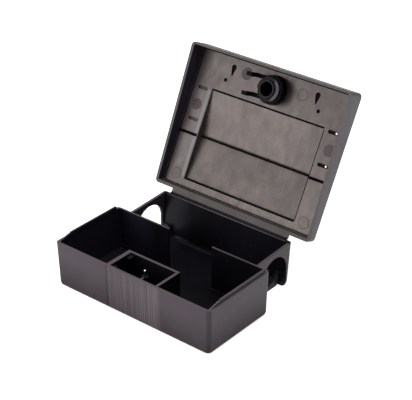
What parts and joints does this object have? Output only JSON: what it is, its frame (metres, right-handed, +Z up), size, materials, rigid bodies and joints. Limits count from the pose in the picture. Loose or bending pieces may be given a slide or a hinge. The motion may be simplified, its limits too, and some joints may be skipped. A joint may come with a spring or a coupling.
{
  "type": "bait station",
  "caption": "Lockable mouse bait station: T-shaped moulded tray with two round side entries, partitioned bays and a lock pocket, under a hinged wedge-shaped lid with a key-turned latch.",
  "frame": {"origin": "in the tray's flat underside, on its plane of symmetry, 50.5 mm behind its front face", "axes": "+Z up, +Y towards the hinge and the rear passage, +X along the tray's width to its right end as seen from the front"},
  "size_m": [0.1376, 0.1615, 0.1337],
  "materials": {
    "tray_plastic": "satin moulded, glossier inside",
    "lid_plastic": "satin moulded",
    "lock_plastic": "gloss",
    "ring_plastic": "satin",
    "pin_steel": "polished tip"
  },
  "bodies": {
    "tray": {"base_tray": "tray_plastic", "post_pin": "pin_steel", "hinge_web": "tray_plastic"},
    "lid": {"lid_shell": "lid_plastic"},
    "lock": {"lock_barrel": "lock_plastic", "cam_disc": "lock_plastic", "retaining_ring": "ring_plastic"},
    "latch": {"latch_fork": "lock_plastic"}
  },
  "joints": [
    {"name": "lid_hinge", "type": "hinge", "parent": "tray", "child": "lid", "pos_m": [0, 0.0532, 0.0347], "axis": [1, 0, 0], "range_deg": [0, 114]},
    {"name": "lock_turn", "type": "hinge", "parent": "lid", "child": "lock", "pos_m": [0.0023, 0.10015, 0.11483], "axis": [0, 0.9135, -0.4067], "range_deg": [0, 90]},
    {"name": "latch_slide", "type": "slide", "parent": "lid", "child": "latch", "axis": [-1, 0, 0], "range_m": [0, 0.0018]}
  ],
  "couplings": [
    {"joint": "latch_slide", "follows": "lock_turn", "m_per_rad": 0.0011459}
  ]
}
